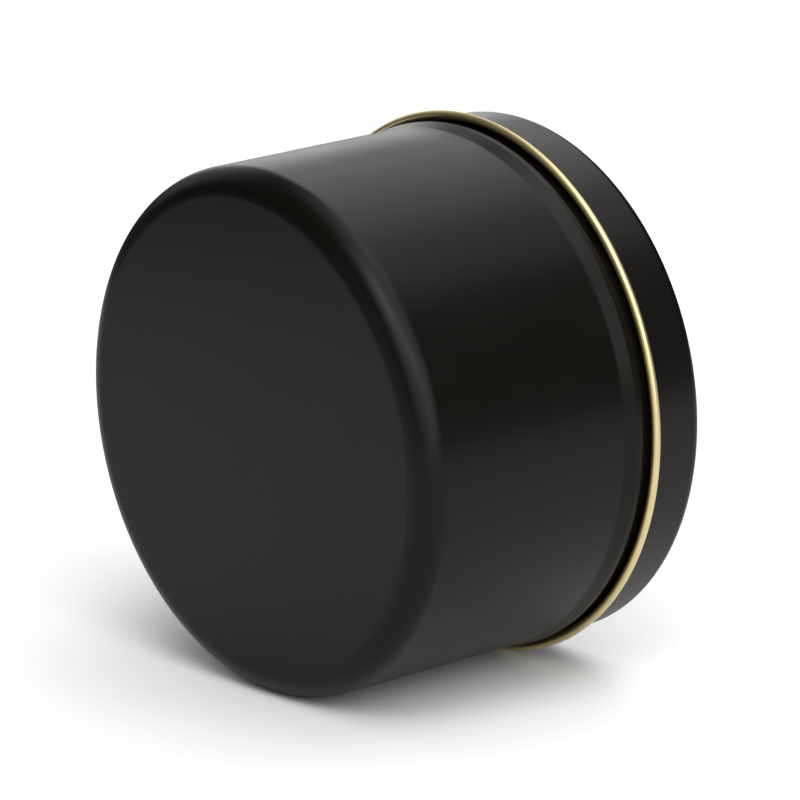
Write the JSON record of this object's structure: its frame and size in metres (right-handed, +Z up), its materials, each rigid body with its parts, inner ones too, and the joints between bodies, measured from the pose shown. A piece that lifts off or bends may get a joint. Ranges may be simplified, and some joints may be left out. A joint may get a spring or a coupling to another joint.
{
  "type": "candle tin",
  "caption": "Round drawn tin with a flat base, a soft base corner and a stop bead, and a slip lid whose skirt ends in a rolled curl.",
  "frame": {"origin": "centre of the flat base, on the surface that the tin stands on", "axes": "+Z up the tin's axis, from the base to the lid; X and Y are equal by symmetry"},
  "size_m": [0.0836, 0.0836, 0.0536],
  "materials": {
    "black_enamel": "satin black stoving enamel outside, gold lacquer inside",
    "lid_enamel": "satin black stoving enamel outside, gold lacquer inside and on the rolled curl"
  },
  "bodies": {
    "tin": {"tin_body": "black_enamel"},
    "lid": {"lid": "lid_enamel"}
  },
  "joints": [
    {"name": "lid_lift", "type": "slide", "parent": "tin", "child": "lid", "axis": [0, 0, 1], "range_m": [0, 0.03]}
  ]
}
